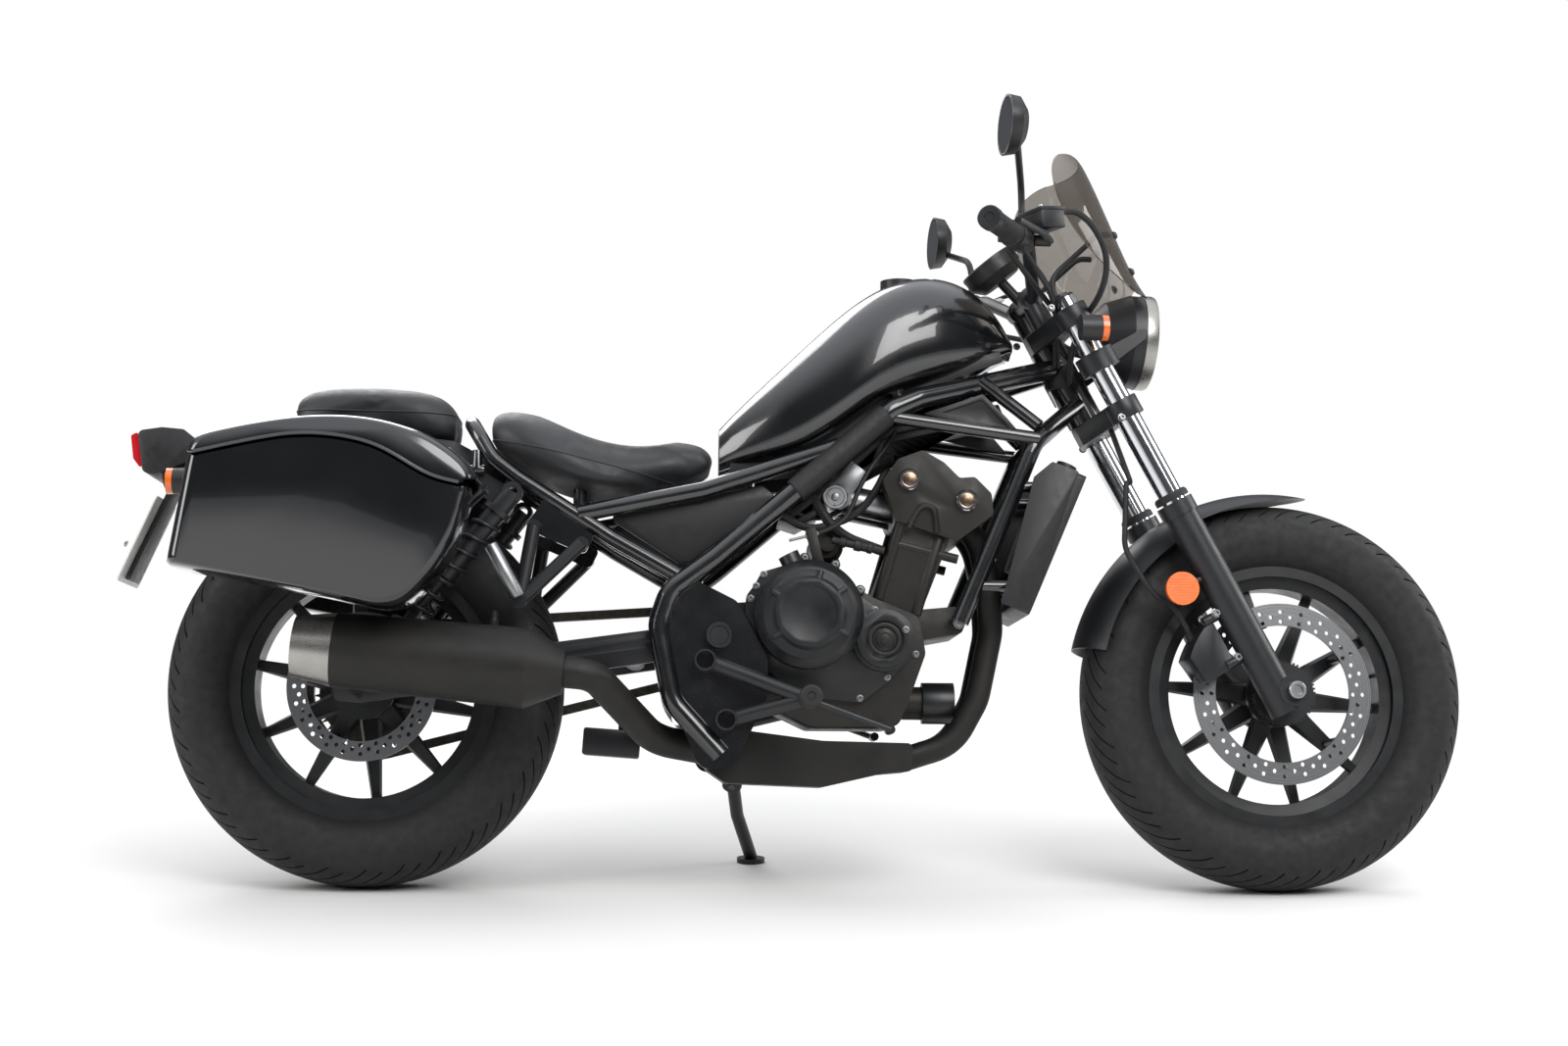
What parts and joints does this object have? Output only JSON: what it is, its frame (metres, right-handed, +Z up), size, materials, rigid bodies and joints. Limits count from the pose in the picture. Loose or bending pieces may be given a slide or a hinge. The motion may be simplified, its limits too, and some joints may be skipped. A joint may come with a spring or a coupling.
{
  "type": "cruiser motorcycle",
  "caption": "Parked cruiser motorcycle with open tube frame, water-cooled engine, hard side bags, small screen; steers, rolls, folds its stand and opens its bags.",
  "frame": {"origin": "centre of the bounding box on the floor, where the machine stands on both tyres and its side stand", "axes": "+X forward along the machine, +Y to the rider's left, +Z up"},
  "size_m": [2.2028, 0.8933, 1.2738],
  "materials": {
    "frame_paint": "gloss black paint",
    "body_paint": "deep gloss black paint",
    "satin_paint": "satin black paint",
    "engine_paint": "bronze black engine paint",
    "cast_paint": "satin black on cast aluminium",
    "exhaust_black": "matt black heat-proof coating",
    "brushed": "brushed",
    "disc_steel": "ground",
    "chain_steel": "oiled",
    "chrome": "polished",
    "silver": "cast and polished",
    "tyre_rubber": "matt rubber",
    "rubber": "matt rubber",
    "seat_cover": "grained black vinyl",
    "black_plastic": "matt moulded",
    "bag_shell": "gloss black",
    "red_lens": "clear red",
    "amber_lens": "clear amber",
    "clear_lens": "clear",
    "smoked_screen": "smoked clear",
    "mirror_glass": "silvered",
    "plate_white": "blank plate"
  },
  "bodies": {
    "chassis": {"main_frame": "frame_paint", "swingarm": "satin_paint", "rear_shafts": "satin_paint", "chain": "chain_steel", "shocks": "satin_paint", "fuel_tank": "body_paint", "fuel_cap": "satin_paint", "rider_seat": "seat_cover", "pillion_seat": "seat_cover", "side_covers": "black_plastic", "rear_fender": "satin_paint", "tail_lamp": "black_plastic", "tail_lens": "red_lens", "rear_indicators": "black_plastic", "rear_indicator_lenses": "amber_lens", "number_plate": "plate_white", "bag_right": "bag_shell", "bag_left": "bag_shell", "bag_rails": "frame_paint", "engine_case": "engine_paint", "engine_top": "engine_paint", "engine_covers": "cast_paint", "throttle_bodies": "silver", "radiator": "black_plastic", "exhaust_pipes": "exhaust_black", "silencer": "exhaust_black", "silencer_cap": "brushed", "footrest_brackets": "satin_paint", "socket_tubes": "satin_paint", "rider_pegs": "rubber", "pillion_pegs": "silver"},
    "steering": {"fork_clamps": "satin_paint", "fork_tubes": "chrome", "fork_lowers": "satin_paint", "front_axle": "silver", "handlebar": "satin_paint", "grips": "rubber", "controls": "black_plastic", "mirrors": "black_plastic", "mirror_glasses": "mirror_glass", "headlamp": "satin_paint", "headlamp_lens": "clear_lens", "instrument": "black_plastic", "windscreen": "smoked_screen", "front_brackets": "satin_paint", "front_indicators": "black_plastic", "front_indicator_lenses": "amber_lens", "front_fender": "satin_paint", "front_caliper": "satin_paint", "brake_hose": "rubber"},
    "front_wheel": {"front_tyre": "tyre_rubber", "front_wheel": "cast_paint", "front_disc": "disc_steel"},
    "rear_wheel": {"rear_tyre": "tyre_rubber", "rear_wheel": "cast_paint", "rear_disc": "disc_steel", "rear_sprocket": "chain_steel"},
    "side_stand": {"side_stand": "satin_paint"},
    "bag_lid_right": {"bag_lid_right": "bag_shell"},
    "bag_lid_left": {"bag_lid_left": "bag_shell"}
  },
  "joints": [
    {"name": "steering_turn", "type": "hinge", "parent": "chassis", "child": "steering", "pos_m": [0.47148, -0.02494, 0.78394], "axis": [-0.4695, 0.1445, 0.871], "range_deg": [-38.94, 31.06]},
    {"name": "front_wheel_spin", "type": "hinge", "parent": "steering", "child": "front_wheel", "pos_m": [0.78389, -0.09919, 0.31426], "axis": [-0.0607, 0.9789, -0.1951], "continuous": true},
    {"name": "rear_wheel_spin", "type": "hinge", "parent": "chassis", "child": "rear_wheel", "pos_m": [-0.704, -0.10217, 0.31842], "axis": [0, 0.9865, -0.1637], "continuous": true},
    {"name": "side_stand_fold", "type": "hinge", "parent": "chassis", "child": "side_stand", "pos_m": [-0.104, -0.01702, 0.15957], "axis": [0.0865, 0.8104, 0.5795], "range_deg": [0, 95.32]},
    {"name": "bag_lid_right_open", "type": "hinge", "parent": "chassis", "child": "bag_lid_right", "pos_m": [-0.494, -0.33675, 0.65194], "axis": [0, 0.9865, -0.1637], "range_deg": [0, 65]},
    {"name": "bag_lid_left_open", "type": "hinge", "parent": "chassis", "child": "bag_lid_left", "pos_m": [-0.494, 0.22754, 0.55832], "axis": [0, 0.9865, -0.1637], "range_deg": [0, 65]}
  ]
}
